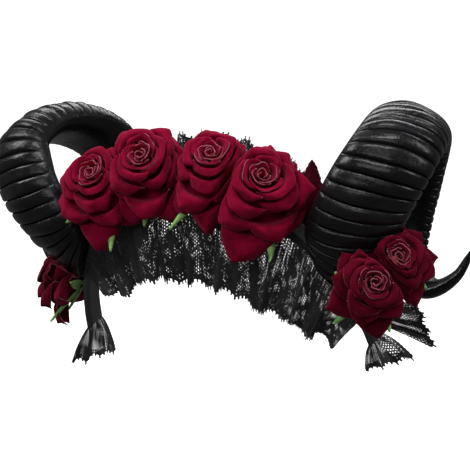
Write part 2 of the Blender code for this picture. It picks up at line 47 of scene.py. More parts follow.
# The hoop and the horns, as the solids have them
HOOP_HALF_WIDTH = 79 * MM
HOOP_RISE = 85 * MM
HOOP_FLARE = 5 * MM
HOOP_LEAN = math.radians(28)
HOOP_END = math.radians(90)
BAND_WIDTH = 14 * MM
BAND_THICK = 4 * MM
HORN_ANGLE = math.radians(61)
HORN_REACH = 60 * MM
HORN_DEPTH = 64 * MM
HORN_HEIGHT = 66 * MM
HORN_WIDTH = 43 * MM
HORN_THICK = 27 * MM
HORN_RIBS = 40
HORN_RIB_SHRINK = 0.6
HORN_RIBBED_SHARE = 0.82
HORN_GROOVE = 2.3 * MM
HORN_RIB_SLANT = 0.25
LACE_THICK = 1.2 * MM

UP = Vector((0, 0, 1))
SIDE = Vector((1, 0, 0))
FORWARD = Vector((0, -math.cos(HOOP_LEAN), -math.sin(HOOP_LEAN)))
CROWNWARD = Vector((0, -math.sin(HOOP_LEAN), math.cos(HOOP_LEAN)))

# The photograph's view: turn, height and distance of the camera, and where the origin shows
VIEW_TURN = math.radians(30)
VIEW_RISE = math.radians(3.5)
VIEW_DISTANCE = 1.0
PICTURE_SIZE = 470
METRES_A_PIXEL = 0.0005
ORIGIN_PIXEL = (190, 190)
SENSOR = 36.0

# Lace: sizes and shapes of the pieces, as the solids have them
FRILL_DROP = 40 * MM
FRILL_FOLD = 3.6 * MM
FRILL_FOLDS = 9
FRILL_SCALLOPS = 19
COLLAR_RISE = 23 * MM
COLLAR_FOLD = 2.6 * MM
COLLAR_FOLDS = 8
COLLAR_SCALLOPS = 11
SCALLOP_DEPTH = 3 * MM
FOLD_STRAY = 1.1
FOLD_STRAY_WAVES = 2.3
END_LENGTH_LEFT = 21 * MM
END_LENGTH_RIGHT = 15 * MM
END_WIDTH = 24 * MM
END_ROOT_SHARE = 0.45
END_FLARE = 0.55
END_WAVE = 1.8 * MM
TAB_LENGTH = 26 * MM
TAB_WIDTH = 26 * MM
TAB_ANGLE = math.radians(84)
TAB_ROOT_SHARE = 0.4
TAB_WAVE = 1.6 * MM
FRILL_START = math.radians(-66)
FRILL_STOP = math.radians(80)
FRILL_TABLE = (
    ("along", "drop", "inward", "forward", "down"),
    (0.00, 0.45, 0.90, 0.30, 0.20),
    (0.15, 0.85, 0.75, 0.20, 0.60),
    (0.45, 1.12, 0.50, 0.10, 0.90),
    (0.68, 1.08, 0.40, 0.20, 1.00),
    (0.85, 0.82, 0.50, 0.25, 0.80),
    (1.00, 0.45, 0.80, 0.25, 0.50),
)
COLLAR_START = math.radians(-42)
COLLAR_STOP = math.radians(37)
COLLAR_TABLE = (
    ("along", "rise"),
    (0.00, 0.70),
    (0.30, 0.95),
    (0.60, 1.05),
    (1.00, 0.95),
)

# What only the dressed part has: dents and swells of the horns, the headings above the roots of frill
# and collar as shares of their drop, the frill's crimps, the seams that hold the hanging lace in the
# hoop, and the cloth of sepals and leaf
HORN_DENT = 0.3 * MM
HORN_SWELL = 0.5 * MM
FRILL_HEADING = 0.10
FRILL_CRIMPS = 55
CRIMP_DEPTH = 0.5 * MM
COLLAR_HEADING = 0.16
HEADING_RISE = 2.4 * MM
HEADING_REACH = 4 * MM
SEAM = 2.2 * MM
SEAM_SHARE = 0.1
SEPAL_HALF = 3.1 * MM
SEPAL_THICK = 0.5 * MM
LEAF_CLOTH = 0.7 * MM

# Lace: threads and pattern, lengths without a unit in millimetres of the flat cloth
NET_SWING = 0.3
NET_ROW = 0.8
NET_PATCHES = 0.26
STITCH_RADIUS = 0.22 * MM
CORD_RADIUS = 0.32 * MM
TOOTH_RADIUS = 0.4 * MM
LACE_LIFT = 0.25 * MM
LINING_LIFT = 2.0 * MM
LINING_RIPPLE = 0.5
RIPPLE_RATE = 41
STITCH_PITCH = 0.55
HEM_STEP = 0.8
HEM_DEPTH = 1.9
HEM_STITCHES = (0.1, 1.8)
TOOTH_PITCH = 1.9
TOOTH_LENGTH = 1.7
MOTIF_REPEAT = 27.0
FLOWER_SIZE = 8.0
FLOWER_SHARE = 0.24
OVAL_MIDDLE = 0.54
OVAL_HALF = 0.46

# Gathered lace, layer by layer: flat width and drop in millimetres, columns and rows of the grid,
# spacing of the net in millimetres, how much of it is thread, and whether flowers are worked on it
GATHERED_TABLE = (
    ("name", "node", "width", "drop", "columns", "rows", "spacing", "cover", "flowers"),
    ("frill_front_lace", "ruffle_front", 225.0, 41.0, 320, 26, 0.85, 0.68, True),
    ("frill_front_lining", "ruffle_front", 225.0, 40.0, 320, 26, 0.95, 0.94, False),
    ("collar_lace", "ruffle_back", 115.0, 27.0, 200, 24, 0.80, 0.68, True),
    ("collar_lining", "ruffle_back", 115.0, 26.0, 200, 24, 1.00, 0.80, False),
)

# Hanging lace: columns and rows of the grid, then spacing and thread of each layer's net, and how
# far the second layer stands off, ripples and reaches
HANGING_GRID = (40, 26)
HANGING_NET = (1.1, 0.74)
HANGING_LINING_NET = (1.0, 0.82)
HANGING_LIFT = 0.7 * MM
HANGING_RIPPLE = 0.3
HANGING_LINING_SHARE = 0.96

# Roses on the hoop, as the solids have them
ROSE_RADIUS = 22.5 * MM
ROSE_HEIGHT = 25 * MM
SIDE_ROSE_SCALE = 0.86
CALYX_THICK = 1.0 * MM
SEPAL_LENGTH = 16 * MM
SEPALS = 5
FOOT_SHARE = 0.22
LEAF_ANGLE = math.radians(43)
LEAF_LENGTH = 31 * MM
LEAF_WIDTH = 17 * MM
LEAF_THICK = 1.2 * MM
HORN_FOOT_ANGLE = math.radians(12)
NEIGHBOURS = (("1", "2"), ("2", "3"), ("3", "4"), ("6", "7"))
HORN_NEIGHBOURS = (("1", -1, 1.3), ("4", 1, 1.35))
# The side roses, which wear a darker copy of the crimson velvet: painted shade.
SHADED_SIDE_ROSES = ("5", "6", "7")
HORN_LEANERS = (("1", True), ("5", True), ("6", False), ("7", False))
ROSE_TABLE = (
    ("name", "angle", "offset", "stand", "scale", "outward", "forward", "side", "up", "twist", "growth",
     "sepal"),
    ("1", -30.5, 0.20, 0.15, 0.98, 1.0, 0.62, 0.58, 0.05, 20, 0.28, 0.9),
    ("2", -10.5, 0.15, 0.05, 1.04, 1.0, 0.72, 0.42, 0.0, 65, 0.28, 0.5),
    ("3", 11.5, 0.10, 0.0, 1.00, 1.0, 0.35, 0.11, 0.0, 110, 0.28, 1.1),
    ("4", 27.5, 0.15, 0.0, 1.08, 1.0, 0.50, 0.10, 0.0, 150, 0.28, 1.1),
    ("5", -75.0, 0.10, 0.0, SIDE_ROSE_SCALE, 1.0, 0.20, 0.0, 0.55, 30, 0.15, 0.3),
    ("6", 67.0, 0.05, 1.65, SIDE_ROSE_SCALE, 1.0, 1.28, 0.0, 0.70, 200, 0.10, 0.0),
    ("7", 67.3, 1.11, 1.05, SIDE_ROSE_SCALE, 1.0, 1.22, 0.0, 0.53, 250, 0.10, 0.3),
)
FOOT_SPREAD = 0.36

# Petals, layer by layer from the heart: how many, half their spread and the first one's turn in
# degrees, then radius and height of foot, belly, lip and rim as shares of the rose's radius and
# height, then how far up they taper and how much, the growth and droop of the front ones, and how
# far one edge stands out over the next petal and both edges curl back
PETAL_THICK = 0.55 * MM
PETAL_RIPPLE = 0.022
FRONT_GROWTH = 0.28
CORE_RADIUS = 0.80
CORE_TOP = 0.55
CORE_RIM = 0.12
CORE_ROWS = 8
CORE_SIDES = 30
PETAL_ROWS = 14
PETAL_COLUMNS = 16
PETAL_TABLE = (
    ("petals", "half", "start", "foot_r", "belly_r", "lip_r", "rim_r", "foot_h", "belly_h", "lip_h", "rim_h",
     "taper", "narrow", "growth", "droop", "spiral", "curl"),
    (2, 130, 0, 0.03, 0.06, 0.09, 0.11, 0.45, 0.65, 0.84, 0.92, 0.3, 0.2, 0.0, 0.0, 0.04, 0.0),
    (3, 88, 40, 0.06, 0.16, 0.21, 0.25, 0.40, 0.65, 0.88, 0.97, 0.3, 0.25, 0.0, 0.0, 0.045, 0.03),
    (3, 78, 95, 0.09, 0.25, 0.32, 0.40, 0.30, 0.60, 0.92, 0.98, 0.35, 0.3, 0.0, 0.0, 0.05, 0.06),
    (3, 74, 20, 0.12, 0.36, 0.46, 0.62, 0.20, 0.56, 0.92, 0.88, 0.4, 0.45, 0.0, 0.0, 0.05, 0.10),
    (4, 58, 70, 0.15, 0.48, 0.62, 0.84, 0.12, 0.42, 0.79, 0.70, 0.45, 0.65, 0.08, 0.05, 0.045, 0.16),
    (5, 46, 10, 0.18, 0.58, 0.80, 1.03, 0.06, 0.25, 0.57, 0.50, 0.5, 0.85, 0.20, 0.15, 0.035, 0.22),
    (5, 44, 46, 0.20, 0.62, 0.88, 1.16, 0.00, 0.14, 0.36, 0.28, 0.55, 0.95, 0.28, 0.35, 0.02, 0.24),
)

# Studio: the bowl of floor and wall, and the lights by their turn round the object and their rise
BOWL_FLOOR = -0.16
BOWL_FLAT = 1.2
BOWL_BEND = 0.9
BOWL_HEIGHT = 2.6
BOWL_SIDES = 48
WORLD_STRENGTH = 0.12
LIGHT_TABLE = (
    ("name", "turn", "rise", "distance", "width", "height", "power"),
    ("top", 20, 66, 1.1, 0.6, 0.22, 6.5),
    ("front", 10, 22, 1.4, 1.0, 0.5, 5.0),
    ("right", 95, 30, 1.1, 0.25, 0.6, 3.5),
    ("left", -70, 40, 1.1, 0.3, 0.5, 5.0),
    ("behind", 200, 40, 1.2, 1.2, 0.3, 6.0),
)

# Horn centreline and section, from base to tip, as shares of the horn's sizes
HORN_TABLE = (
    ("reach", "depth", "height", "width", "thick", "turn"),
    (0.00, 0.00, 0.00, 0.78, 0.96, 0.60),
    (0.15, -0.13, 0.15, 0.95, 1.00, 0.58),
    (0.30, -0.24, 0.34, 1.02, 1.00, 0.56),
    (0.46, -0.27, 0.58, 1.02, 0.98, 0.54),
    (0.58, -0.17, 0.82, 1.00, 0.98, 0.50),
    (0.57, 0.10, 0.98, 0.97, 0.96, 0.42),
    (0.47, 0.41, 1.00, 0.94, 0.94, 0.34),
    (0.35, 0.68, 0.89, 0.88, 0.90, 0.27),
    (0.26, 0.83, 0.64, 0.78, 0.82, 0.20),
    (0.21, 0.86, 0.34, 0.66, 0.72, 0.12),
    (0.22, 0.80, 0.08, 0.55, 0.62, 0.05),
    (0.34, 0.69, -0.12, 0.45, 0.52, -0.05),
    (0.56, 0.60, -0.19, 0.33, 0.41, -0.15),
    (0.81, 0.55, -0.08, 0.19, 0.25, -0.30),
    (0.98, 0.52, 0.13, 0.03, 0.05, -0.40),
)
HORN_LOOP_CENTRE = (0.33, 0.42)
HORN_FOOT_SHARE = 0.12
HORN_SIDES = 72
RIB_RINGS = 9
TIP_RINGS = 26
HORN_INNER_SHARE = 0.62


def column(table, name):
    """The values of one named column of a table."""
    at = table[0].index(name)
    return [row[at] for row in table[1:]]


def rows_of(table):
    """The rows of a table as dictionaries by column name."""
    return [dict(zip(table[0], row)) for row in table[1:]]


def curve_through(values, share):
    """A smooth curve through evenly placed values, read at a share."""
    place = min(max(share, 0.0), 1.0) * (len(values) - 1)
    first = min(int(place), len(values) - 2)
    part = place - first
    before, after = values[max(first - 1, 0)], values[min(first + 2, len(values) - 1)]
    start, stop = values[first], values[first + 1]
    return start + 0.5 * part * (
        stop - before
        + part * (2 * before - 5 * start + 4 * stop - after + part * (3 * (start - stop) + after - before))
    )


def read_column(table, name, share):
    """A column read at a share of the way down the rows, on a smooth curve through them."""
    return curve_through(column(table, name), share)


def read_along(table, name, share):
    """A column read where the column named along has this share, in smooth steps."""
    along, values = column(table, "along"), column(table, name)
    for first in range(len(along) - 1):
        if share <= along[first + 1]:
            part = (share - along[first]) / (along[first + 1] - along[first])
            part = part * part * (3 - 2 * part)
            return values[first] + part * (values[first + 1] - values[first])
    return values[-1]


def outward_at(angle):
    """The direction away from the head at an angle along the hoop."""
    return (
        SIDE * (math.sin(angle) / HOOP_HALF_WIDTH) + CROWNWARD * (math.cos(angle) / HOOP_RISE)
    ).normalized()


def hoop_run(angle):
    """The direction along the hoop, towards its right end."""
    return (
        SIDE * (HOOP_HALF_WIDTH * math.cos(angle)) - CROWNWARD * (HOOP_RISE * math.sin(angle))
    ).normalized()


def hoop_point(angle, outward=0.0, forward=0.0):
    """A point by the hoop's centreline, moved away from the head and forward over it."""
    centre = CROWNWARD * (BAND_THICK / 2 - HOOP_RISE * (1 - math.cos(angle)))
    flare = math.copysign(HOOP_FLARE * (1 - math.cos(angle)) ** 2, angle)
    centre = centre + SIDE * (HOOP_HALF_WIDTH * math.sin(angle) + flare)
    return centre + outward_at(angle) * outward + FORWARD * forward


def new_object(name, points, faces, finish, smooth=True):
    """A named mesh object with its material."""
    mesh = bpy.data.meshes.new(name)
    mesh.from_pydata([tuple(point) for point in points], [], faces)
    mesh.validate()
    if smooth:
        mesh.shade_smooth()
    mesh.materials.append(finish)
    made = bpy.data.objects.new(name, mesh)
    bpy.context.collection.objects.link(made)
    return made


def ring_faces(rings, sides, start):
    """Faces between rings of points, from the point that they start at."""
    faces = []
    for ring in range(rings - 1):
        near, far = start + ring * sides, start + (ring + 1) * sides
        for side in range(sides):
            following = (side + 1) % sides
            faces.append((near + side, far + side, far + following, near + following))
    return faces


def grid_faces(rows, columns, start):
    """Faces of a grid of points that lie row by row, from the point that it starts at."""
    faces = []
    for row in range(rows):
        for at in range(start + row * (columns + 1), start + row * (columns + 1) + columns):
            faces.append((at, at + 1, at + columns + 2, at + columns + 1))
    return faces


def thicken(made, name, thick):
    """Give a single skin its thickness, half of it to each side."""
    wall = made.modifiers.new(name, "SOLIDIFY")
    wall.thickness = thick
    wall.offset = 0
    return wall


# Materials


class Shader:
    """A node material under construction: its nodes are made and joined by short calls."""

    def __init__(self, name):
        self.material = bpy.data.materials.new(name)
        self.material.use_nodes = True
        self.tree = self.material.node_tree
        self.base = self.tree.nodes["Principled BSDF"]

    def node(self, kind, **settings):
        made = self.tree.nodes.new(kind)
        for key, value in settings.items():
            setattr(made, key, value)
        return made

    def put(self, socket, value):
        if isinstance(value, bpy.types.NodeSocket):
            self.tree.links.new(value, socket)
        else:
            socket.default_value = value

    def set(self, **values):
        for key, value in values.items():
            self.put(self.base.inputs[key.replace("_", " ")], value)

    def place(self):
        return self.node("ShaderNodeTexCoord").outputs["Object"]

    def noise(self, scale, detail=3.0, rough=0.5):
        made = self.node("ShaderNodeTexNoise")
        self.put(made.inputs["Scale"], scale)
        self.put(made.inputs["Detail"], detail)
        self.put(made.inputs["Roughness"], rough)
        self.put(made.inputs["Vector"], self.place())
        return made.outputs["Fac"]

    def ramp(self, factor, *stops):
        made = self.node("ShaderNodeValToRGB")
        self.put(made.inputs["Fac"], factor)
        marks = made.color_ramp.elements
        while len(marks) < len(stops):
            marks.new(0.5)
        for mark, (place, colour) in zip(marks, stops):
            mark.position = place
            mark.color = (*colour, 1) if isinstance(colour, tuple) else (colour, colour, colour, 1)
        return made.outputs["Color"]

    def mix(self, factor, first, second):
        made = self.node("ShaderNodeMix", data_type="RGBA", blend_type="MIX")
        self.put(made.inputs[0], factor)
        for socket, value in ((made.inputs[6], first), (made.inputs[7], second)):
            self.put(socket, (*value, 1) if isinstance(value, tuple) else value)
        return made.outputs[2]

    def bump(self, *layers):
        """Bump from pairs of height and distance in metres."""
        normal = None
        for height, distance in layers:
            made = self.node("ShaderNodeBump")
            self.put(made.inputs["Distance"], distance)
            self.put(made.inputs["Height"], height)
            if normal is not None:
                self.put(made.inputs["Normal"], normal)
            normal = made.outputs["Normal"]
        self.put(self.base.inputs["Normal"], normal)


def horn_material():
    """Black moulded horn: satin, mottled and glossier in random patches, with a fine bumpy surface."""
    s = Shader("black_horn")
    broad = s.noise(45, 4, 0.6)
    fine = s.noise(900, 5, 0.65)
    mottled = s.ramp(broad, (0.3, (0.003, 0.003, 0.0035)), (0.75, (0.011, 0.011, 0.013)))
    s.set(Base_Color=mottled, Roughness=s.ramp(s.noise(120, 5, 0.6), (0.3, 0.17), (0.75, 0.4)))
    s.set(Specular_IOR_Level=0.24, Coat_Weight=0.1, Coat_Roughness=0.1)
    s.bump((fine, 0.00012), (s.noise(210, 4, 0.55), 0.0005))
    return s.material


def lace_material():
    """Black lace thread: soft sheen, small shiny specks and a faint blue cast."""
    s = Shader("black_lace")
    specks = s.noise(2600, 2, 0.5)
    s.set(Base_Color=s.ramp(specks, (0.35, (0.004, 0.004, 0.005)), (0.72, (0.03, 0.03, 0.037))))
    s.set(Roughness=s.ramp(s.noise(700, 3), (0.35, 0.4), (0.7, 0.7)))
    s.set(Sheen_Weight=0.08, Sheen_Roughness=0.4)
    s.bump((s.noise(3500, 2), 0.00005))
    return s.material


def band_material():
    """The fabric that wraps the hoop: black, finely woven along and across."""
    s = Shader("black_wrap")
    weave = s.node("ShaderNodeTexWave", wave_type="BANDS", bands_direction="DIAGONAL")
    s.put(weave.inputs["Vector"], s.place())
    s.put(weave.inputs["Scale"], 520.0)
    s.put(weave.inputs["Distortion"], 2.0)
    s.set(Base_Color=s.ramp(weave.outputs["Fac"], (0.2, (0.004, 0.004, 0.005)), (0.9, (0.02, 0.02, 0.024))))
    s.set(Roughness=0.8, Sheen_Weight=0.2)
    s.bump((weave.outputs["Fac"], 0.0002), (s.noise(600, 3), 0.0002))
    return s.material


def velvet_material(name, deep, bright):
    """Crimson velvet: short pile that lightens at grazing angles, brushed in soft patches."""
    s = Shader(name)
    patches = s.noise(130, 3, 0.55)
    pile = s.noise(2400, 3, 0.6)
    brushed = s.ramp(patches, (0.3, deep), (0.72, bright))
    s.set(Base_Color=s.mix(s.ramp(pile, (0.3, 0.0), (0.8, 0.35)), brushed, tuple(0.45 * c for c in deep)))
    s.set(Roughness=0.95, Specular_IOR_Level=0.1, Sheen_Weight=0.4, Sheen_Roughness=0.35)
    s.set(Sheen_Tint=(1.0, 0.12, 0.25, 1))
    s.bump((pile, 0.00035), (s.noise(420, 3), 0.0004))
    return s.material


def rim_highlight_material():
    """The rims of the velvet petals in a paler pinkish red: a painted highlight along the petal edges."""
    s = Shader("velvet_rim_painted_highlight")
    s.set(Base_Color=s.ramp(s.noise(900, 3), (0.35, (0.20, 0.006, 0.025)), (0.72, (0.48, 0.075, 0.12))))
    s.set(Roughness=0.9, Sheen_Weight=0.5)
    s.bump((s.noise(3000, 2), 0.0001))
    return s.material


def sepal_material():
    """Light green sepals, paler towards patches, with a faint fibre."""
    s = Shader("green_sepal")
    s.set(Base_Color=s.ramp(s.noise(160, 3), (0.3, (0.16, 0.45, 0.07)), (0.7, (0.42, 0.75, 0.25))))
    s.set(Roughness=0.55, Sheen_Weight=0.1)
    s.bump((s.noise(1500, 3), 0.00015))
    return s.material


def horn_centre(share):
    """Centre of the right horn at a share of its table, measured from the hoop."""
    base = hoop_point(HORN_ANGLE, BAND_THICK / 2 + GAP)
    return base + Vector(
        (
            HORN_REACH * read_column(HORN_TABLE, "reach", share),
            HORN_DEPTH * read_column(HORN_TABLE, "depth", share),
            HORN_HEIGHT * read_column(HORN_TABLE, "height", share),
        )
    )


def horn_shares():
    """Shares of the horn's rings, with the place across each rib from 0 to 1, or none on the tip."""
    fine = 400
    lengths = [0.0]
    for step in range(fine):
        lengths.append(lengths[-1] + (horn_centre((step + 1) / fine) - horn_centre(step / fine)).length)
    shares = np.linspace(0, 1, fine + 1)
    scaled = np.array(lengths) / lengths[-1]
    ratio = HORN_RIB_SHRINK ** (1 / (HORN_RIBS - 1))
    pitches = [ratio**rib for rib in range(HORN_RIBS)]
    rings, place = [(0.0, 0.0, 0)], 0.0
    for rib, pitch in enumerate(pitches):
        size = pitch / sum(pitches) * HORN_RIBBED_SHARE
        for step in range(RIB_RINGS):
            across = 0.5 - 0.5 * math.cos(math.pi * (step + 1) / RIB_RINGS)
            rings.append((place + size * across, across, rib))
        place += size
    for ring in range(TIP_RINGS):
        rest = (ring + 1) / TIP_RINGS
        rings.append((place + (1 - place) * rest, None, HORN_RIBS))
    return [(float(np.interp(share, scaled, shares)), across, rib) for share, across, rib in rings]


def horn_frame(share):
    """The horn's centre, directions across, outwards and along, half width, thickness, and slant."""
    step = 2e-3
    centre = horn_centre(share)
    base = hoop_point(HORN_ANGLE, BAND_THICK / 2 + GAP)
    tangent = (horn_centre(min(share + step, 1)) - horn_centre(max(share - step, 0))).normalized()
    rise = min(share / HORN_FOOT_SHARE, 1.0)
    tangent = outward_at(HORN_ANGLE).lerp(tangent, rise).normalized()
    loop = base + Vector((0, HORN_DEPTH * HORN_LOOP_CENTRE[0], HORN_HEIGHT * HORN_LOOP_CENTRE[1]))
    radial = Vector((0, centre.y - loop.y, centre.z - loop.z)).normalized()
    outer = radial + SIDE * read_column(HORN_TABLE, "turn", share)
    outer = (outer - tangent * outer.dot(tangent)).normalized()
    half_width = HORN_WIDTH / 2 * read_column(HORN_TABLE, "width", share)
    half_thick = HORN_THICK / 2 * read_column(HORN_TABLE, "thick", share)
    return centre, tangent.cross(outer), outer, half_width, half_thick, tangent * (HORN_RIB_SLANT * rise)


def horn_ring(share, across_rib, rib, mirror):
    """One fine ring round the horn: full lobes on the outer side, a smooth inner side."""
    centre, across, outer, half_width, half_thick, slant = horn_frame(share)
    ribbed = 0.0 if across_rib is None else 1.0
    lobe = ribbed * (1 - math.sqrt(max(0.0, 1 - abs(2 * (across_rib or 0.5) - 1) ** 5)))
    crown = ribbed * math.sin(math.pi * (across_rib or 0.0)) ** 2
    ring = []
    for side in range(HORN_SIDES):
        turn = 2 * math.pi * side / HORN_SIDES
        lift, sweep = math.sin(turn), math.cos(turn)
        edge = lift + 0.55 * sweep
        reach = min(1.0, max(0.0, 0.45 + 1.3 * edge + 0.1 * math.sin(3 * turn + rib * 1.7)))
        cut = HORN_GROOVE * (half_thick / (HORN_THICK / 2)) ** 0.8 * lobe * reach
        dent = HORN_DENT * math.sin(5 * sweep + rib * 1.3) * reach * ribbed
        swell = HORN_SWELL * crown * math.sin(2.3 * rib + 1.9 * sweep) * reach
        depth = half_thick * lift
        if lift < 0:
            depth = half_thick * (HORN_INNER_SHARE * lift + 0.10 * lift * lift)
        point = centre + across * ((half_width - cut) * sweep) + slant * (half_width * sweep)
        point += outer * (depth + (dent + swell - cut) * max(lift, 0))
        ring.append(Vector((-point.x, point.y, point.z)) if mirror else point)
    return ring


def make_horn(name, node, mirror, finish):
    """A ram horn with rounded ribs and a smooth tip, in place of its plain solid."""
    rings = [horn_ring(share, across, rib, mirror) for share, across, rib in horn_shares()]
    sides = HORN_SIDES
    points = [point for ring in rings for point in ring]
    faces = []
    for ring in range(len(rings) - 1):
        near, far = ring * sides, (ring + 1) * sides
        for side in range(sides):
            following = (side + 1) % sides
            corners = (near + side, near + following, far + following, far + side)
            faces.append(tuple(reversed(corners)) if mirror else corners)
    for ring, turned in ((0, not mirror), (len(rings) - 1, mirror)):
        cap = tuple(ring * sides + side for side in range(sides))
        faces.append(tuple(reversed(cap)) if turned else cap)
    made = new_object(name, points, faces, finish)
    made.data.set_sharp_from_angle(angle=math.radians(75))
    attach(made, "root")
    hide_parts(node)


# Lace


def fold_phase(along, folds):
    """How far the folds have run at a share of the way along, unevenly spaced."""
    return 2 * math.pi * folds * along + FOLD_STRAY * math.sin(2 * math.pi * FOLD_STRAY_WAVES * along)


def frill_surface(along, down):
    """The frill below the hoop: gathered at the hoop and wavy below, with a heading above its root."""
    angle = FRILL_START + (FRILL_STOP - FRILL_START) * along
    root = hoop_point(angle, -BAND_THICK * 0.2, BAND_WIDTH / 2 + GAP + LACE_THICK / 2)
    inward = -outward_at(angle)
    fall = (
        inward * read_along(FRILL_TABLE, "inward", along)
        + FORWARD * read_along(FRILL_TABLE, "forward", along)
        - UP * read_along(FRILL_TABLE, "down", along)
    ).normalized()
    run = outward_at(angle).cross(FORWARD)
    face = fall.cross(run).normalized()
    wave = fold_phase(along, FRILL_FOLDS)
    scallop = 1 - SCALLOP_DEPTH / FRILL_DROP * abs(math.sin(math.pi * FRILL_SCALLOPS * along + 0.4))
    length = FRILL_DROP * read_along(FRILL_TABLE, "drop", along) * scallop
    crimp = math.sin(2 * math.pi * FRILL_CRIMPS * along)
    if down < 0:
        return root + outward_at(angle) * (-length * down) + face * (CRIMP_DEPTH * crimp)
    fold = FRILL_FOLD * down**0.7 * (0.75 * math.sin(wave) + 0.25 * math.sin(0.43 * wave + 1))
    fold += CRIMP_DEPTH * (1 - down) ** 3 * crimp
    sway = FRILL_FOLD * 0.4 * down * math.cos(wave)
    return root + fall * (length * down) + face * fold + run * sway


def headed_frill(along, down):
    """The frill and its heading as one cloth."""
    return frill_surface(along, down * (1 + FRILL_HEADING) - FRILL_HEADING)


def collar_surface(along, down):
    """The collar behind the roses, rising from the hoop's back edge, its heading laid on the hoop."""
    angle = COLLAR_START + (COLLAR_STOP - COLLAR_START) * along
    root = hoop_point(angle, 0, -(BAND_WIDTH / 2 + GAP + LACE_THICK / 2))
    climb = (outward_at(angle) * 0.85 - FORWARD * 0.62).normalized()
    run = outward_at(angle).cross(FORWARD)
    face = climb.cross(run).normalized()
    wave = fold_phase(along, COLLAR_FOLDS)
    scallop = 1 - SCALLOP_DEPTH / COLLAR_RISE * abs(math.sin(math.pi * COLLAR_SCALLOPS * along))
    length = COLLAR_RISE * read_along(COLLAR_TABLE, "rise", along) * scallop
    if down < 0:
        turned = min(1.0, -down / COLLAR_HEADING)
        lifted = outward_at(angle) * (HEADING_RISE * math.sqrt(turned))
        return root + lifted + FORWARD * (HEADING_REACH * turned)
    return root + climb * (length * down) + face * (COLLAR_FOLD * down**0.7 * math.sin(wave))


def headed_collar(along, down):
    """The collar and its heading as one cloth."""
    return collar_surface(along, down * (1 + COLLAR_HEADING) - COLLAR_HEADING)


def end_surface(mirror, along, down):
    """A loose lace end below the hoop's end, flaring from the band."""
    side = -1 if mirror else 1
    tip = hoop_point(side * HOOP_END) - CROWNWARD * (2 * GAP)
    across = (FORWARD * -0.75 + SIDE * (0.1 + 0.8 * down)).normalized()
    fall = (-UP + SIDE * side * (0.1 if mirror else 0.6) - FORWARD * 0.12).normalized()
    scallop = 1 - 0.14 * abs(math.sin(2 * math.pi * 1.5 * along + 0.3))
    return (
        tip
        + across * (END_WIDTH * (END_ROOT_SHARE + END_FLARE * down**0.6) * (along - 0.5))
        + fall * ((END_LENGTH_LEFT if mirror else END_LENGTH_RIGHT) * down * scallop)
        + across.cross(fall) * (END_WAVE * down * math.sin(2 * math.pi * 2.0 * along + 0.6))
    )


def tab_surface(along, down):
    """The lace flap behind the right side roses, from the hoop's back edge."""
    angle = TAB_ANGLE + TAB_WIDTH / HOOP_HALF_WIDTH * TAB_ROOT_SHARE * (along - 0.5)
    flush = (BAND_THICK - LACE_THICK) / 2
    root = hoop_point(angle, flush, -(BAND_WIDTH / 2 + 2 * GAP))
    run = hoop_run(angle)
    fall = (SIDE * 0.60 - FORWARD * 0.55 - UP * 0.42).normalized()
    wave = math.sin(2 * math.pi * 1.6 * along)
    reach = TAB_LENGTH * down * (1 - 0.10 * abs(wave))
    spread = TAB_WIDTH * (1 - TAB_ROOT_SHARE) * down * (along - 0.5)
    return root + fall * reach + run * spread + fall.cross(run) * (TAB_WAVE * down * wave)


def sewn(surface, reach, along, down):
    """A hanging lace piece carried on a little into the hoop that it is sewn to."""
    if down > SEAM_SHARE:
        return surface(along, (down - SEAM_SHARE) / (1 - SEAM_SHARE))
    edge = surface(along, 0)
    fall = (surface(along, SEAM_SHARE) - edge).normalized()
    return edge - fall * (reach * (1 - down / SEAM_SHARE))


class Cloth:
    """A flat piece of lace, in millimetres, laid on a surface given by two shares."""

    def __init__(self, surface, width, height, columns, rows):
        self.width, self.height = width, height
        self.columns, self.rows = columns, rows
        self.places = np.array(
            [
                [tuple(surface(col / columns, row / rows)) for col in range(columns + 1)]
                for row in range(rows + 1)
            ]
        )
        run = np.gradient(self.places, axis=1)
        fall = np.gradient(self.places, axis=0)
        normals = np.cross(run, fall)
        self.normals = normals / np.maximum(np.linalg.norm(normals, axis=2, keepdims=True), 1e-12)
        self.stretch = np.linalg.norm(run, axis=2, keepdims=True) * columns / width

    def flat_size(self):
        """Width and length of the flat cut: the cloth's own area over its fall."""
        corner = self.places
        first = np.cross(corner[1:, :-1] - corner[:-1, :-1], corner[:-1, 1:] - corner[:-1, :-1])
        second = np.cross(corner[1:, :-1] - corner[1:, 1:], corner[:-1, 1:] - corner[1:, 1:])
        area = (np.linalg.norm(first, axis=2).sum() + np.linalg.norm(second, axis=2).sum()) / 2
        return round(float(area) / (self.height * MM), 4), round(self.height * MM, 4)

    def read(self, grid, col, row):
        """A grid's values at fractional columns and rows, carried on straight past its edges."""
        left = np.clip(np.floor(col).astype(int), 0, self.columns - 1)
        top = np.clip(np.floor(row).astype(int), 0, self.rows - 1)
        across, down = (col - left)[:, None], (row - top)[:, None]
        upper = grid[top, left] * (1 - across) + grid[top, left + 1] * across
        lower = grid[top + 1, left] * (1 - across) + grid[top + 1, left + 1] * across
        return upper * (1 - down) + lower * down

    def share(self, flat):
        """Fractional columns and rows of flat points."""
        flat = np.asarray(flat, float)
        return flat[:, 0] / self.width * self.columns, flat[:, 1] / self.height * self.rows

    def lay(self, flat, lift):
        """Points and normals in space of flat points, raised from the cloth."""
        col, row = self.share(flat)
        normals = self.read(self.normals, col, row)
        normals /= np.maximum(np.linalg.norm(normals, axis=1, keepdims=True), 1e-12)
        return self.read(self.places, col, row) + normals * lift, normals


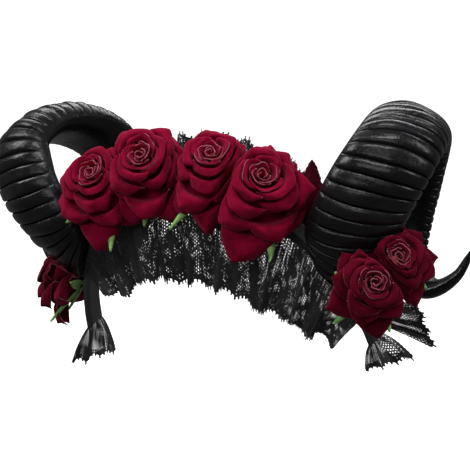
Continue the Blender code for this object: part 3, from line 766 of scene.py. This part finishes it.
class Threads:
    """Threads gathered into one mesh: each is a three-sided tube along a line on the cloth."""

    def __init__(self, cloth):
        self.cloth = cloth
        self.points, self.faces, self.count = [], [], 0

    def add(self, flat, radius, lift=0.0):
        if len(flat) < 2:
            return
        places, normals = self.cloth.lay(flat, lift)
        tangents = np.gradient(places, axis=0)
        sides = np.cross(tangents, normals)
        sides /= np.maximum(np.linalg.norm(sides, axis=1, keepdims=True), 1e-12)
        thick = np.minimum(radius, CORD_RADIUS)
        corners = ((0.0, 0.5), (1.0, -0.25), (-1.0, -0.25))
        rings = np.stack([places + sides * (a * radius) + normals * (b * thick) for a, b in corners], axis=1)
        size = len(flat)
        at = self.count + 3 * np.arange(size - 1)[:, None, None]
        side = np.arange(3)[None, :, None]
        corner = np.array([0, 1, 2, 3])[None, None, :]
        ring = np.isin(corner, (2, 3)).astype(int)
        step = np.isin(corner, (1, 2)).astype(int)
        quads = at + 3 * ring + (side + step) % 3
        self.faces += quads.reshape(-1, 4).tolist()
        self.faces.append([self.count + 2, self.count + 1, self.count])
        last = self.count + 3 * (size - 1)
        self.faces.append([last, last + 1, last + 2])
        self.points.append(rings.reshape(-1, 3))
        self.count += 3 * size

    def add_inside(self, flat, radius, lift=0.0):
        """A thread cut where it leaves the cloth."""
        piece = []
        for place in flat:
            if 0 <= place[0] <= self.cloth.width and 0 <= place[1] <= self.cloth.height:
                piece.append(place)
            else:
                self.add(piece, radius, lift)
                piece = []
        self.add(piece, radius, lift)

    def build(self, name, finish):
        return new_object(name, np.concatenate(self.points).tolist(), self.faces, finish, smooth=False)


def net_weight(flat):
    """How much thicker or thinner the net's thread is, in soft patches like the lace's pattern."""
    along, down = np.asarray(flat, float).T
    across = np.sin(0.41 * along + 1.6 * np.sin(0.23 * down))
    upright = np.cos(0.37 * down - 1.1 * np.sin(0.13 * along))
    return (1 + NET_PATCHES * across * upright)[:, None]


def add_net(threads, pitch, cover):
    """Net of zigzag threads that meet at every second point, its holes as small as the cover says."""
    cloth = threads.cloth
    columns = int(cloth.width / pitch)
    rows = max(2, int(round(cloth.height / (pitch * NET_ROW))))
    for column in range(columns + 1):
        middle = cloth.width * column / columns
        swing = pitch * NET_SWING * (1 if column % 2 else -1)
        line = []
        for row in range(rows + 1):
            side = middle + swing * (1 if row % 2 else -1)
            line.append((min(max(side, 0.0), cloth.width), cloth.height * row / rows))
        spacing = cloth.read(cloth.stretch, *cloth.share(line)) * cloth.width / columns
        threads.add(line, spacing * cover / 2 * net_weight(line))


def flat_place(centre, turn, reach, side=0.0):
    """A flat point at a reach from a centre in the direction of a turn, moved to the side."""
    along, down = math.cos(turn), math.sin(turn)
    return (centre[0] + along * reach - down * side, centre[1] + down * reach + along * side)


def oval_side(width, angle):
    """How far a pointed oval stands out to the side at an angle round it."""
    return width * math.sin(angle) * (0.8 - 0.3 * math.cos(angle))


def petal_outline(centre, turn, length, width, points=12):
    """A pointed oval in the cloth from a centre outwards."""
    outline = []
    for point in range(points):
        angle = 2 * math.pi * point / points
        reach = length * (OVAL_MIDDLE - OVAL_HALF * math.cos(angle))
        outline.append(flat_place(centre, turn, reach, oval_side(width, angle)))
    return outline


def add_petal(threads, centre, turn, length, width):
    """A motif's petal: a stitched filling and a thick outline."""
    filling = []
    stitches = max(6, int(length / STITCH_PITCH))
    for stitch in range(stitches):
        share = 0.06 + 0.88 * stitch / (stitches - 1)
        angle = math.acos(max(-1.0, min(1.0, (OVAL_MIDDLE - share) / OVAL_HALF)))
        side = oval_side(width, angle) * (1 if stitch % 2 else -1)
        filling.append(flat_place(centre, turn, length * share, side))
    threads.add_inside(filling, STITCH_RADIUS, LACE_LIFT)
    outline = petal_outline(centre, turn, length, width)
    threads.add_inside(outline + outline[:1], CORD_RADIUS, LACE_LIFT)


def add_flower(threads, centre, size, petals, turn):
    """A round flower of stitched petals with a ring in its middle."""
    for petal in range(petals):
        angle = turn + 2 * math.pi * petal / petals
        add_petal(threads, flat_place(centre, angle, 0.18 * size), angle, size * 0.82, size * 0.36)
    ring = [flat_place(centre, angle, 0.16 * size) for angle in np.linspace(0, 2 * math.pi, 9)]
    threads.add_inside(ring, CORD_RADIUS, LACE_LIFT)


def add_spray(threads, start, stop, bow, leaves, size):
    """A bowed stem with leaves on both sides."""
    line = []
    for share in np.linspace(0, 1, 16):
        lift = bow * math.sin(math.pi * share)
        line.append(
            (
                start[0] + (stop[0] - start[0]) * share - (stop[1] - start[1]) * lift,
                start[1] + (stop[1] - start[1]) * share + (stop[0] - start[0]) * lift,
            )
        )
    threads.add_inside(line, CORD_RADIUS, LACE_LIFT)
    for leaf in range(leaves):
        at = int((leaf + 1) / (leaves + 1) * 14)
        heading = math.atan2(line[at + 1][1] - line[at][1], line[at + 1][0] - line[at][0])
        add_petal(threads, line[at], heading + (0.9 if leaf % 2 else -0.9), size, size * 0.3)


def add_border(threads):
    """A corded hem with a row of stitches, and a comb of small teeth beyond it."""
    width, height = threads.cloth.width, threads.cloth.height
    fine = int(width / HEM_STEP)
    for inset, radius in ((0.0, CORD_RADIUS), (HEM_DEPTH, CORD_RADIUS * 0.8)):
        line = [(width * step / fine, height - inset) for step in range(fine + 1)]
        threads.add(line, radius, LACE_LIFT)
    stitches = int(width / (TOOTH_PITCH * 0.5))
    zigzag = [(width * step / stitches, height - HEM_STITCHES[step % 2]) for step in range(stitches + 1)]
    threads.add(zigzag, STITCH_RADIUS, LACE_LIFT)
    teeth = int(width / TOOTH_PITCH)
    for number in range(teeth):
        middle = width * (number + 0.5) / teeth
        tooth = [(middle, height - 0.3), (middle + 0.15, height + TOOTH_LENGTH)]
        threads.add(tooth, TOOTH_RADIUS, LACE_LIFT)


def add_pattern(threads):
    """Flowers and sprays worked on the net, repeated along the piece."""
    deep = threads.cloth.height
    repeats = max(1, round(threads.cloth.width / MOTIF_REPEAT))
    step = threads.cloth.width / repeats
    size = min(FLOWER_SIZE, deep * FLOWER_SHARE)
    for repeat in range(repeats):
        left = step * repeat
        add_flower(threads, (left + step * 0.30, deep * 0.63), size, 6, 0.4 + repeat)
        add_flower(threads, (left + step * 0.80, deep * 0.36), size * 0.8, 5, 1.1 * repeat)
        add_spray(threads, (left, deep * 0.92), (left + step * 0.98, deep * 0.86), -0.16, 8, size * 0.62)
        for start, stop, bow, leaves in (
            ((0.05, 0.3), (0.7, 0.2), 0.2, 5),
            ((0.55, 0.75), (1.0, 0.55), 0.25, 4),
        ):
            ends = [(left + step * across, deep * down) for across, down in (start, stop)]
            add_spray(threads, *ends, bow, leaves, size * 0.6)


def lace_piece(name, node, cloth, spacing, cover, held, flowers=False):
    """One lace piece made of thread, in place of its plain solid."""
    threads = Threads(cloth)
    add_net(threads, spacing, cover)
    add_border(threads)
    if flowers:
        add_pattern(threads)
    made = threads.build(name, LACE)
    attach(made, "root")
    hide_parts(node)
    cloth.flat_size()


def layer(surface, lift, shift):
    """A second layer of cloth beside a surface, at a distance that ripples along it."""

    def moved(along, down):
        place = surface(along, down)
        step = 1e-3
        run = surface(min(along + step, 1), down) - surface(max(along - step, 0), down)
        fall = surface(along, min(down + step, 1)) - surface(along, max(down - step, 0))
        ripple = 1 + shift * math.sin(RIPPLE_RATE * along + 3)
        return place + run.cross(fall).normalized() * (lift * min(1.0, 3 * down + 0.2) * ripple)

    return moved


# Roses


def rose_axes(row):
    """Base point, facing direction, the direction of its lowest petals, and the third axis."""
    angle = math.radians(row["angle"])
    facing = (
        outward_at(angle) * row["outward"] + FORWARD * row["forward"] + SIDE * row["side"] + UP * row["up"]
    ).normalized()
    tilt = facing.angle(outward_at(angle))
    foot = ROSE_RADIUS * row["scale"] * FOOT_SPREAD * math.sin(tilt)
    stand = BAND_THICK / 2 + CALYX_THICK + 2 * GAP + foot + row["stand"] * BAND_WIDTH
    base = hoop_point(angle, stand, row["offset"] * BAND_WIDTH)
    down = (-UP + facing * facing.z).normalized()
    return base, facing, down, facing.cross(down)


def rose_middle(row):
    """The middle of a rose's body."""
    base, facing, _, _ = rose_axes(row)
    return base + facing * (ROSE_HEIGHT * row["scale"] * 0.4)


def rose_walls(row):
    """Planes that keep a rose off its neighbours and the horns' feet: a point and a direction each."""
    rows = {other["name"]: other for other in rows_of(ROSE_TABLE)}
    walls = []
    for first, second in NEIGHBOURS:
        if row["name"] in (first, second):
            near, far = rose_middle(rows[first]), rose_middle(rows[second])
            direction = (far - near).normalized() * (1 if row["name"] == first else -1)
            walls.append(((near + far) / 2, direction))
    for name, side, before in HORN_NEIGHBOURS:
        if row["name"] == name:
            angle = side * (HORN_ANGLE - before * HORN_FOOT_ANGLE)
            walls.append((hoop_point(angle), hoop_run(angle) * side))
    return walls


class HornRoom:
    """The room that a horn takes up, read along its centreline."""

    def __init__(self, mirror, samples=150):
        self.flip = -1.0 if mirror else 1.0
        frames = [horn_frame(share) for share in np.linspace(0, 1, samples)]
        self.centres, self.across, self.outer = (
            np.array([tuple(each[at]) for each in frames]) for at in range(3)
        )
        self.width, self.thick = (np.array([each[at] for each in frames]) for at in (3, 4))

    def press_off(self, point, clear=0.5 * MM, room=3 * MM):
        """Press a point softly out of the horn."""
        place = np.array((point.x * self.flip, point.y, point.z))
        for _ in range(2):
            away = place - self.centres
            sample = int(np.argmin((away**2).sum(axis=1)))
            side = float(away[sample] @ self.across[sample])
            lift = float(away[sample] @ self.outer[sample])
            thick = self.thick[sample] * (1.0 if lift > 0 else HORN_INNER_SHARE)
            share = math.hypot(side / self.width[sample], lift / thick)
            if share < 1e-3:
                return point
            reach = math.hypot(side, lift)
            gap = reach - reach / share
            if gap < room:
                wanted = clear + (room - clear) * math.exp((gap - room) / (room - clear))
                push = self.across[sample] * side + self.outer[sample] * lift
                place = place + push / reach * (wanted - gap)
        return Vector((place[0] * self.flip, place[1], place[2]))


def press_back(point, walls, horns=(), room=7 * MM, clear=0.8 * MM):
    """Press a point softly back behind the walls and out of the horns."""
    for place, direction in walls:
        depth = (point - place).dot(direction)
        if depth > -room - clear:
            pressed = -clear - room * math.exp(-(depth + room + clear) / room)
            point = point + direction * (pressed - depth)
    for horn_room in horns:
        point = horn_room.press_off(point)
    return point


def rose_limits(row):
    """The walls of a rose and the rooms of the horns that it leans on."""
    return rose_walls(row), [HORN_ROOMS[mirror] for name, mirror in HORN_LEANERS if name == row["name"]]


def make_petal(row, layer_row, number, luck):
    """One petal's grid of points: from its foot up the wall, over the lip and down the rolled rim."""
    base, facing, down, third = rose_axes(row)
    radius, height = ROSE_RADIUS * row["scale"], ROSE_HEIGHT * row["scale"]
    count = layer_row["petals"]
    middle = 2 * math.pi * (number + luck.uniform(-0.1, 0.1)) / count + math.radians(
        layer_row["start"] + row["twist"]
    )
    half = math.radians(layer_row["half"])
    reach = [layer_row[key] for key in ("foot_r", "belly_r", "lip_r", "rim_r")]
    rise = [layer_row[key] for key in ("foot_h", "belly_h", "lip_h", "rim_h")]
    size = luck.uniform(0.94, 1.06)
    tilt = luck.uniform(-0.05, 0.05)
    ripple, phase = luck.uniform(0.4, 1.0), luck.uniform(0, 6.28)
    rows = []
    for down_step in range(PETAL_ROWS + 1):
        t = down_step / PETAL_ROWS
        wide = 0.45 + 0.55 * math.sin(math.pi / 2 * min(1.0, t / 0.55))
        point_start = 1 - layer_row["taper"]
        if t > point_start:
            wide *= 1 - layer_row["narrow"] * ((t - point_start) / layer_row["taper"]) ** 1.6
        line = []
        for across in range(PETAL_COLUMNS + 1):
            s = 2 * across / PETAL_COLUMNS - 1
            turn = middle + s * half * wide
            front = math.cos(turn)
            growth = 1 + layer_row["growth"] * row["growth"] / FRONT_GROWTH * front
            r = curve_through(reach, t) * size + layer_row["spiral"] * s
            edge = s * s * max(0.0, t - 0.35) / 0.65
            r -= layer_row["curl"] * edge * 0.6
            h = curve_through(rise, t) - layer_row["curl"] * edge * s * s
            h += tilt * (t - 0.3) - layer_row["droop"] * (0.35 + 0.65 * front) * t**2
            wave = PETAL_RIPPLE * ripple * math.sin(2.2 * s * math.pi / 2 * 1.7 + phase) * t**2
            r = max(r * growth, 0.012)
            out = down * math.cos(turn) + third * math.sin(turn)
            line.append(base + facing * (height * (h + wave)) + out * (radius * (r + wave)))
        rows.append(line)
    return rows


def add_core(row, points, faces, walls, horns):
    """The folded velvet under the petals, which closes the gaps between them."""
    base, facing, down, third = rose_axes(row)
    radius, height = ROSE_RADIUS * row["scale"], ROSE_HEIGHT * row["scale"]
    start = len(points)
    for share in np.linspace(0, 1, CORE_ROWS + 1):
        reach, rise = CORE_RADIUS * share, CORE_TOP + (CORE_RIM - CORE_TOP) * share**1.5
        for side in range(CORE_SIDES):
            turn = 2 * math.pi * side / CORE_SIDES
            out = down * math.cos(turn) + third * math.sin(turn)
            spread = max(reach * (1 + 0.08 * math.sin(5 * turn)), 0.01)
            place = base + facing * (height * rise) + out * (radius * spread)
            points.append(press_back(place, walls, horns))
    faces += ring_faces(CORE_ROWS + 1, CORE_SIDES, start)


def make_rose(row, finish, rim):
    """A rose of velvet petals, in place of its plain solid."""
    luck = random.Random("rose " + row["name"])
    walls, horns = rose_limits(row)
    points, faces = [], []
    for layer_row in rows_of(PETAL_TABLE):
        for number in range(layer_row["petals"]):
            grid = make_petal(row, layer_row, number, luck)
            start = len(points)
            points += [press_back(point, walls, horns) for line in grid for point in line]
            faces += grid_faces(PETAL_ROWS, PETAL_COLUMNS, start)
    add_core(row, points, faces, walls, horns)
    made = new_object("rose_" + row["name"] + "_petals", points, faces, finish)
    # The rim faces of the thickened petals take the paler material: a painted highlight along the edges.
    made.data.materials.append(rim)
    thicken(made, "cloth_thickness", PETAL_THICK).material_offset_rim = 1
    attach(made, "root")
    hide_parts("rose_" + row["name"])


def make_sepals(row, finish):
    """Curved green sepals under a rose, in place of its plain calyx."""
    base, facing, down, third = rose_axes(row)
    radius, height = ROSE_RADIUS * row["scale"], ROSE_HEIGHT * row["scale"]
    luck = random.Random("sepals " + row["name"])
    walls, horns = rose_limits(row)
    points, faces = [], []
    steps, wide = 18, 7
    for number in range(SEPALS):
        turn = 2 * math.pi * number / SEPALS + math.radians(row["twist"])
        lower = math.cos(turn)
        length = SEPAL_LENGTH * luck.uniform(0.95, 1.15)
        length *= 1 + row["sepal"] * max(0.0, lower) - 0.35 * max(0.0, -lower)
        bend = luck.uniform(-0.25, 0.25)
        start = len(points)
        for step in range(steps + 1):
            t = step / steps
            swell = math.sin(math.pi * min(1, 0.22 + 0.78 * t)) ** 0.7
            half = SEPAL_HALF * swell * (1 - 0.25 * t) + 0.15 * MM
            heading = turn + bend * t
            out = down * math.cos(heading) + third * math.sin(heading)
            aside = facing.cross(out)
            reach = FOOT_SHARE * radius * 0.6 + length * t
            lift = height * (0.02 + 0.16 * t) - 1.4 * MM - 1.5 * MM * t * t
            centre = base + out * reach + facing * lift
            for part in range(wide):
                s = 2 * part / (wide - 1) - 1
                place = centre + aside * (half * s) - facing * (0.9 * MM * s * s)
                points.append(press_back(place, walls, horns))
        faces += grid_faces(steps, wide - 1, start)
    made = new_object("calyx_" + row["name"] + "_sepals", points, faces, finish)
    thicken(made, "leaf_thickness", SEPAL_THICK)
    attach(made, "root")
    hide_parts("calyx_" + row["name"])


def make_leaf(finish):
    """The dark red leaf with a pinked edge beside rose 4."""
    base = hoop_point(LEAF_ANGLE, BAND_THICK / 2 + 1.5 * (GAP + LEAF_THICK), -BAND_WIDTH * 0.2)
    reach = (outward_at(LEAF_ANGLE) * 0.35 + UP * 0.8 - FORWARD * 0.1).normalized()
    across = (SIDE * 0.8 + FORWARD * 0.2 - UP * 0.2).normalized()
    across = (across - reach * across.dot(reach)).normalized()
    face = reach.cross(across)
    steps, wide = 44, 11
    points = []
    for step in range(steps + 1):
        share = step / steps
        half = LEAF_WIDTH / 2 * math.sin(math.pi * (0.12 + 0.84 * share)) ** 0.8
        tooth = 0.82 + 0.18 * ((step * 11 / steps) % 1.0)
        for part in range(wide):
            s = 2 * part / (wide - 1) - 1
            out = half * s * (tooth if abs(s) > 0.99 else 1.0)
            vein = 0.35 * MM * math.cos(2 * math.pi * (share * 9 - abs(s) * 1.5))
            lift = 3 * MM * math.sin(math.pi * share) - 1.0 * MM * (1 - abs(s)) + vein * abs(s)
            along = reach * (LEAF_LENGTH * (share - 0.05 * abs(s)))
            points.append(base + along + face * lift + across * out)
    made = new_object("leaf_red_velvet", points, grid_faces(steps, wide - 1, 0), finish)
    thicken(made, "leaf_thickness", LEAF_CLOTH)
    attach(made, "root")
    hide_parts("leaf_red")


def seen_from(turn, rise):
    """The direction from the origin to a place turned from the front and raised."""
    return Vector((math.sin(turn) * math.cos(rise), -math.cos(turn) * math.cos(rise), math.sin(rise)))


def make_camera():
    """The camera at the photograph's angle, with the origin at its pixel."""
    toward = seen_from(VIEW_TURN, VIEW_RISE)
    right = Vector((math.cos(VIEW_TURN), math.sin(VIEW_TURN), 0))
    up = toward.cross(right)
    middle = PICTURE_SIZE / 2
    shift_right = (middle - ORIGIN_PIXEL[0]) * METRES_A_PIXEL
    shift_up = (ORIGIN_PIXEL[1] - middle) * METRES_A_PIXEL
    data = bpy.data.cameras.new("camera")
    data.sensor_width = SENSOR
    data.lens = VIEW_DISTANCE / METRES_A_PIXEL / PICTURE_SIZE * SENSOR
    data.clip_start = 0.01
    camera = bpy.data.objects.new("camera", data)
    camera.location = toward * VIEW_DISTANCE + right * shift_right + up * shift_up
    camera.rotation_euler = toward.to_track_quat("Z", "Y").to_euler()
    bpy.context.collection.objects.link(camera)
    bpy.context.scene.camera = camera


def make_studio():
    """A white bowl of floor and wall all round, which lights nothing, and soft lights."""
    scene = bpy.context.scene
    scene.view_settings.view_transform = "Standard"
    s = Shader("studio_white")
    s.set(Base_Color=(0.9, 0.9, 0.9, 1), Roughness=0.9)
    s.set(Emission_Color=(1, 1, 1, 1), Emission_Strength=0.95)
    profile = [(BOWL_FLAT * share, 0.0) for share in (0.2, 0.6)]
    profile += [
        (BOWL_FLAT + BOWL_BEND * math.sin(turn), BOWL_BEND * (1 - math.cos(turn)))
        for turn in np.linspace(0, math.pi / 2, 16)
    ]
    profile.append((BOWL_FLAT + BOWL_BEND, BOWL_HEIGHT))
    points = [(0, 0, BOWL_FLOOR)]
    for radius, height in profile:
        for side in range(BOWL_SIDES):
            turn = 2 * math.pi * side / BOWL_SIDES
            points.append((radius * math.cos(turn), radius * math.sin(turn), BOWL_FLOOR + height))
    faces = [(0, 1 + side, 1 + (side + 1) % BOWL_SIDES) for side in range(BOWL_SIDES)]
    faces += ring_faces(len(profile), BOWL_SIDES, 1)
    bowl = new_object("studio_bowl", points, faces, s.material)
    bowl.visible_diffuse = False
    bowl.visible_glossy = False
    bowl.visible_shadow = False
    bowl.visible_transmission = False
    world = bpy.data.worlds.new("studio")
    world.use_nodes = True
    sky = world.node_tree.nodes["Background"].inputs
    sky["Color"].default_value = (1, 1, 1, 1)
    sky["Strength"].default_value = WORLD_STRENGTH
    scene.world = world
    for row in rows_of(LIGHT_TABLE):
        data = bpy.data.lights.new(row["name"], "AREA")
        data.shape = "RECTANGLE"
        data.size = row["width"]
        data.size_y = row["height"]
        data.energy = row["power"]
        lamp = bpy.data.objects.new(row["name"], data)
        aim = seen_from(math.radians(row["turn"]), math.radians(row["rise"]))
        lamp.location = aim * row["distance"]
        lamp.rotation_euler = aim.to_track_quat("Z", "Y").to_euler()
        bpy.context.collection.objects.link(lamp)


make_camera()
make_studio()
HORN = horn_material()
LACE = lace_material()
VELVET = velvet_material("crimson_velvet", (0.17, 0.0, 0.014), (0.40, 0.003, 0.045))
# A darker copy of the same crimson velvet for the side roses: painted shade, not a different fabric.
SHADED_VELVET = velvet_material("crimson_velvet_painted_shade", (0.085, 0.0, 0.007), (0.21, 0.0015, 0.024))
DARK_VELVET = velvet_material("dark_red_velvet", (0.035, 0.0, 0.004), (0.09, 0.001, 0.012))
# Paler colour for the petal rims: painted highlight.
RIM = rim_highlight_material()
SEPAL = sepal_material()
HORN_ROOMS = {mirror: HornRoom(mirror) for mirror in (False, True)}
make_horn("horn_right_shell", "horn_right", False, HORN)
make_horn("horn_left_shell", "horn_left", True, HORN)
for rose in rows_of(ROSE_TABLE):
    # The side roses take the darker velvet copy, which paints shade into their colour.
    make_rose(rose, SHADED_VELVET if rose["name"] in SHADED_SIDE_ROSES else VELVET, RIM)
    make_sepals(rose, SEPAL)
make_leaf(DARK_VELVET)
bpy.data.objects["band"].material_slots[0].material = band_material()

GATHERED = {
    "frill_front_lace": headed_frill,
    "frill_front_lining": layer(headed_frill, LINING_LIFT, LINING_RIPPLE),
    "collar_lace": headed_collar,
    "collar_lining": layer(headed_collar, -LINING_LIFT, LINING_RIPPLE),
}
for row in rows_of(GATHERED_TABLE):
    cloth = Cloth(GATHERED[row["name"]], row["width"], row["drop"], row["columns"], row["rows"])
    lace_piece(row["name"], row["node"], cloth, row["spacing"], row["cover"], "gathered", row["flowers"])
HANGING = (
    ("lace_end_left", partial(end_surface, True), 24.0, END_LENGTH_LEFT),
    ("lace_end_right", partial(end_surface, False), 24.0, END_LENGTH_RIGHT),
    ("lace_tab_right", tab_surface, 26.0, TAB_LENGTH),
)
for node, surface, width, reach in HANGING:
    whole = partial(sewn, surface, SEAM)
    behind = layer(whole, HANGING_LIFT, HANGING_RIPPLE)
    length = (reach + SEAM) / MM
    front_cloth = Cloth(whole, width, length, *HANGING_GRID)
    lace_piece(node + "_threads", node, front_cloth, *HANGING_NET, "hung")
    back_cloth = Cloth(behind, width, length * HANGING_LINING_SHARE, *HANGING_GRID)
    lace_piece(node + "_lining", node, back_cloth, *HANGING_LINING_NET, "hung")
